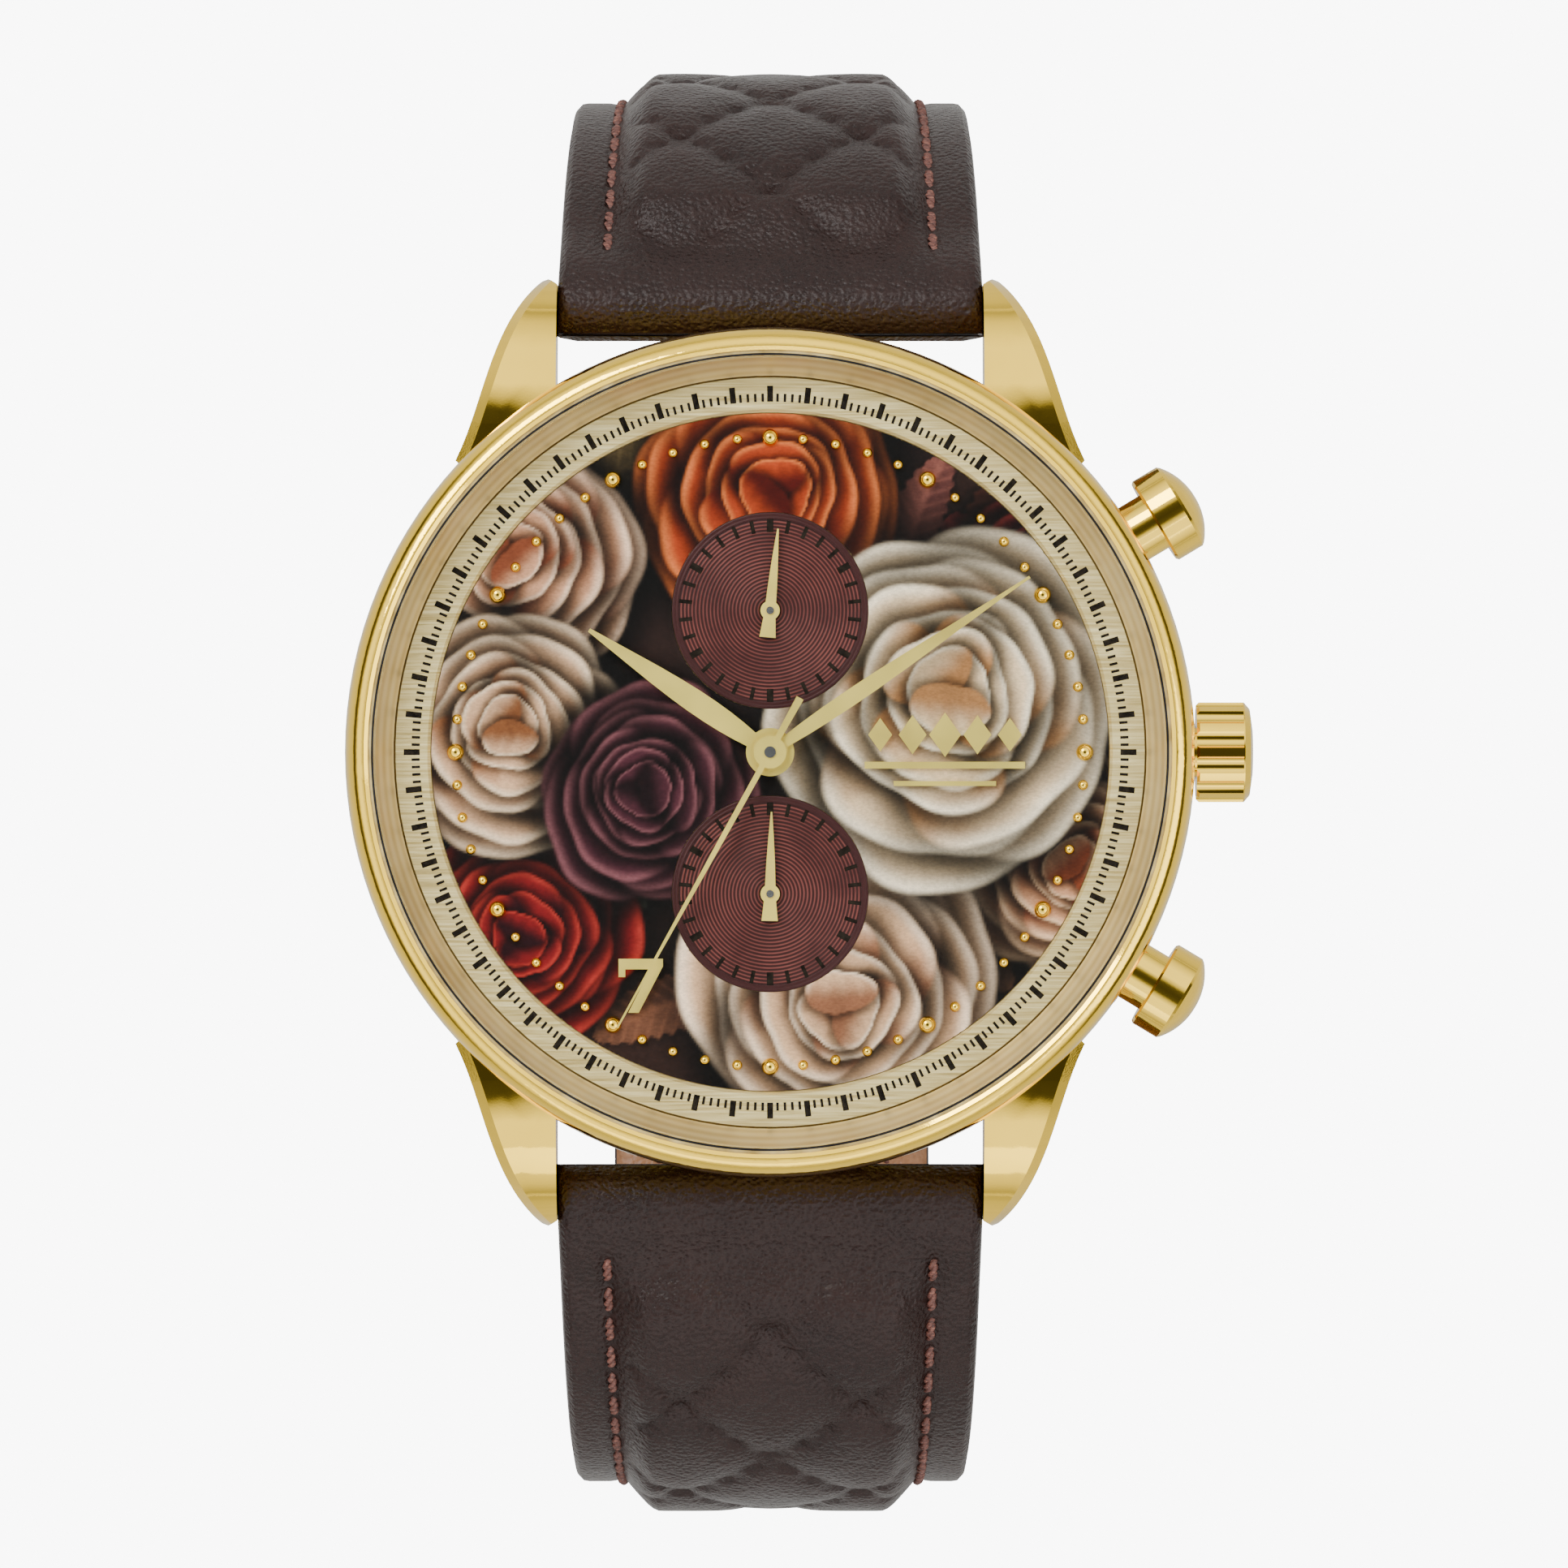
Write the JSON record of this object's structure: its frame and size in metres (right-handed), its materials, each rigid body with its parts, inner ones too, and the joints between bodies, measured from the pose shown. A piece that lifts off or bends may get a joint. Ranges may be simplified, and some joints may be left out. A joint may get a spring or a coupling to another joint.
{
  "type": "chronograph wristwatch",
  "caption": "Round gold-plated chronograph wristwatch with a printed rose dial, two sub-dials, fluted crown, pushers and a quilted leather strap.",
  "frame": {"origin": "centre of the case back's outer face", "axes": "+Z out through the dial, +Y to 12 o'clock, +X to the crown"},
  "size_m": [0.0472, 0.076, 0.0892],
  "materials": {
    "gold_polished": "polished yellow gold plating",
    "champagne_ring": "horizontally brushed champagne",
    "rehaut_gold": "satin",
    "hand_gold": "matte",
    "crystal_glass": "clear polished",
    "black_rubber": "matte",
    "dial_blank": "matte",
    "rose_print": "lacquered floral print",
    "subdial_brown": "concentric grooves",
    "holder_plastic": "moulded",
    "plate_brass": "plated, fine brushed",
    "gear_brass": "machined",
    "steel": "machined",
    "jewel_red": "polished synthetic ruby",
    "board_green": "solder mask",
    "copper_wire": "enamelled winding",
    "strap_leather": "fine pebbled, soft sheen"
  },
  "bodies": {
    "case": {"case_middle": "gold_polished", "bezel": "gold_polished", "crystal": "crystal_glass", "crystal_gasket": "black_rubber", "case_back": "gold_polished", "case_back_gasket": "black_rubber", "case_tubes": "gold_polished", "rehaut_ring": "rehaut_gold", "dial_plate": "dial_blank", "dial_print": "rose_print", "minute_track_ring": "champagne_ring", "subdial_discs": "subdial_brown", "index_dots": "gold_polished", "numeral_seven": "gold_polished", "dial_emblem": "gold_polished", "movement_holder": "holder_plastic", "main_plate": "plate_brass", "train_bridge": "plate_brass", "jewels": "jewel_red", "bridge_screws": "steel", "circuit_board": "board_green", "stator": "steel", "coil": "copper_wire", "battery": "steel", "spring_bars": "steel", "start_spring": "steel", "reset_spring": "steel"},
    "hour_hand": {"hour_hand": "hand_gold", "hour_wheel": "gear_brass"},
    "minute_hand": {"minute_hand": "hand_gold", "cannon_pinion": "gear_brass"},
    "minute_wheel": {"minute_wheel": "gear_brass"},
    "chrono_seconds": {"chrono_seconds_hand": "hand_gold", "chrono_wheel": "gear_brass"},
    "counter_idler": {"counter_idler": "gear_brass"},
    "minute_counter": {"minute_counter_hand": "hand_gold", "counter_wheel": "gear_brass"},
    "small_seconds": {"small_seconds_hand": "hand_gold", "fourth_wheel": "gear_brass"},
    "third_wheel": {"third_wheel": "gear_brass"},
    "centre_wheel": {"centre_wheel": "gear_brass"},
    "rotor": {"rotor": "steel"},
    "clutch": {"clutch_wheel": "steel"},
    "crown": {"crown": "gold_polished", "crown_stem": "steel"},
    "setting_lever": {"setting_lever": "steel"},
    "start_pusher": {"start_pusher": "gold_polished"},
    "reset_pusher": {"reset_pusher": "gold_polished"},
    "start_lever": {"start_lever": "steel"},
    "reset_lever": {"reset_lever": "steel"},
    "strap_12_root": {"strap_12_root": "strap_leather"},
    "strap_12_end": {"strap_12_end": "strap_leather", "fixed_keeper": "strap_leather"},
    "free_keeper": {"free_keeper": "strap_leather"},
    "buckle": {"buckle_frame": "gold_polished", "buckle_bar": "steel"},
    "tang": {"buckle_tang": "gold_polished"},
    "strap_6_root": {"strap_6_root": "strap_leather"},
    "strap_6_end": {"strap_6_end": "strap_leather"}
  },
  "joints": [
    {"name": "minute_hand_spin", "type": "hinge", "parent": "case", "child": "minute_hand", "pos_m": [0, 0, 0.0036], "axis": [0, 0, -1], "continuous": true},
    {"name": "minute_wheel_spin", "type": "hinge", "parent": "case", "child": "minute_wheel", "pos_m": [0.003, 0, 0.0036], "axis": [0, 0, -1], "continuous": true},
    {"name": "hour_hand_spin", "type": "hinge", "parent": "case", "child": "hour_hand", "pos_m": [0, 0, 0.0036], "axis": [0, 0, -1], "continuous": true},
    {"name": "chrono_seconds_spin", "type": "hinge", "parent": "case", "child": "chrono_seconds", "pos_m": [0, 0, 0.0036], "axis": [0, 0, -1], "continuous": true},
    {"name": "counter_idler_spin", "type": "hinge", "parent": "case", "child": "counter_idler", "pos_m": [-0.00233, 0.00349, 0.0036], "axis": [0, 0, -1], "continuous": true},
    {"name": "minute_counter_spin", "type": "hinge", "parent": "case", "child": "minute_counter", "pos_m": [0, 0.00734, 0.0036], "axis": [0, 0, -1], "continuous": true},
    {"name": "small_seconds_spin", "type": "hinge", "parent": "case", "child": "small_seconds", "pos_m": [0, -0.00734, 0.0036], "axis": [0, 0, -1], "continuous": true},
    {"name": "third_wheel_spin", "type": "hinge", "parent": "case", "child": "third_wheel", "pos_m": [0.00164, -0.00374, 0.0036], "axis": [0, 0, -1], "continuous": true},
    {"name": "centre_wheel_spin", "type": "hinge", "parent": "case", "child": "centre_wheel", "pos_m": [0, 0, 0.0036], "axis": [0, 0, -1], "continuous": true},
    {"name": "rotor_spin", "type": "hinge", "parent": "case", "child": "rotor", "pos_m": [-0.00195, -0.01013, 0.0036], "axis": [0, 0, -1], "continuous": true},
    {"name": "crown_spin", "type": "hinge", "parent": "case", "child": "clutch", "pos_m": [0.0128, 0, 0.0036], "axis": [1, 0, 0], "continuous": true},
    {"name": "crown_pull", "type": "slide", "parent": "clutch", "child": "crown", "axis": [1, 0, 0], "range_m": [0, 0.0012]},
    {"name": "setting_lever_turn", "type": "hinge", "parent": "case", "child": "setting_lever", "pos_m": [0.0155, -0.00282, 0.0036], "axis": [0, 0, -1], "range_deg": [0, 28.4]},
    {"name": "start_push", "type": "slide", "parent": "case", "child": "start_pusher", "axis": [-0.8572, -0.515, 0], "range_m": [0, 0.0007], "stiffness_N_per_m": 1500, "springref_m": -0.0008, "deforming": ["start_spring"]},
    {"name": "reset_push", "type": "slide", "parent": "case", "child": "reset_pusher", "axis": [-0.8572, 0.515, 0], "range_m": [0, 0.0007], "stiffness_N_per_m": 1500, "springref_m": -0.0008, "deforming": ["reset_spring"]},
    {"name": "start_lever_turn", "type": "hinge", "parent": "case", "child": "start_lever", "pos_m": [0.01148, 0.0104, 0.0036], "axis": [0, 0, -1], "range_deg": [0, 13.6]},
    {"name": "reset_lever_turn", "type": "hinge", "parent": "case", "child": "reset_lever", "pos_m": [0.01148, -0.0104, 0.0036], "axis": [0, 0, 1], "range_deg": [0, 13.6]},
    {"name": "strap_12_lug_hinge", "type": "hinge", "parent": "case", "child": "strap_12_root", "pos_m": [0, 0.0232, 0.0018], "axis": [1, 0, 0], "range_deg": [-2, 60]},
    {"name": "strap_12_flex", "type": "hinge", "parent": "strap_12_root", "child": "strap_12_end", "pos_m": [0, 0.0342, -0.01933], "axis": [1, 0, 0], "range_deg": [-2, 30], "stiffness_Nm_per_rad": 0.25},
    {"name": "free_keeper_slide", "type": "slide", "parent": "strap_12_end", "child": "free_keeper", "axis": [0, -0.1219, -0.9925], "range_m": [-0.005, 0.005]},
    {"name": "buckle_swing", "type": "hinge", "parent": "strap_12_end", "child": "buckle", "pos_m": [0, 0.02865, -0.06824], "axis": [1, 0, 0], "range_deg": [-10, 45]},
    {"name": "tang_swing", "type": "hinge", "parent": "buckle", "child": "tang", "pos_m": [0, 0.02865, -0.06824], "axis": [1, 0, 0], "range_deg": [0, 75]},
    {"name": "strap_6_lug_hinge", "type": "hinge", "parent": "case", "child": "strap_6_root", "pos_m": [0, -0.0232, 0.0018], "axis": [-1, 0, 0], "range_deg": [-2, 60]},
    {"name": "strap_6_flex", "type": "hinge", "parent": "strap_6_root", "child": "strap_6_end", "pos_m": [0, -0.03832, -0.01791], "axis": [-1, 0, 0], "range_deg": [-2, 30], "stiffness_Nm_per_rad": 0.25}
  ],
  "couplings": [
    {"joint": "minute_wheel_spin", "follows": "minute_hand_spin", "ratio": -0.33333},
    {"joint": "hour_hand_spin", "follows": "minute_hand_spin", "ratio": 0.083333},
    {"joint": "counter_idler_spin", "follows": "chrono_seconds_spin", "ratio": -0.16667},
    {"joint": "minute_counter_spin", "follows": "chrono_seconds_spin", "ratio": 0.033333},
    {"joint": "third_wheel_spin", "follows": "small_seconds_spin", "ratio": -0.125},
    {"joint": "centre_wheel_spin", "follows": "small_seconds_spin", "ratio": 0.016667},
    {"joint": "rotor_spin", "follows": "small_seconds_spin", "ratio": -7.5},
    {"joint": "setting_lever_turn", "follows": "crown_pull", "rad_per_m": 408.3},
    {"joint": "start_lever_turn", "follows": "start_push", "rad_per_m": 333.3},
    {"joint": "reset_lever_turn", "follows": "reset_push", "rad_per_m": 333.3}
  ]
}
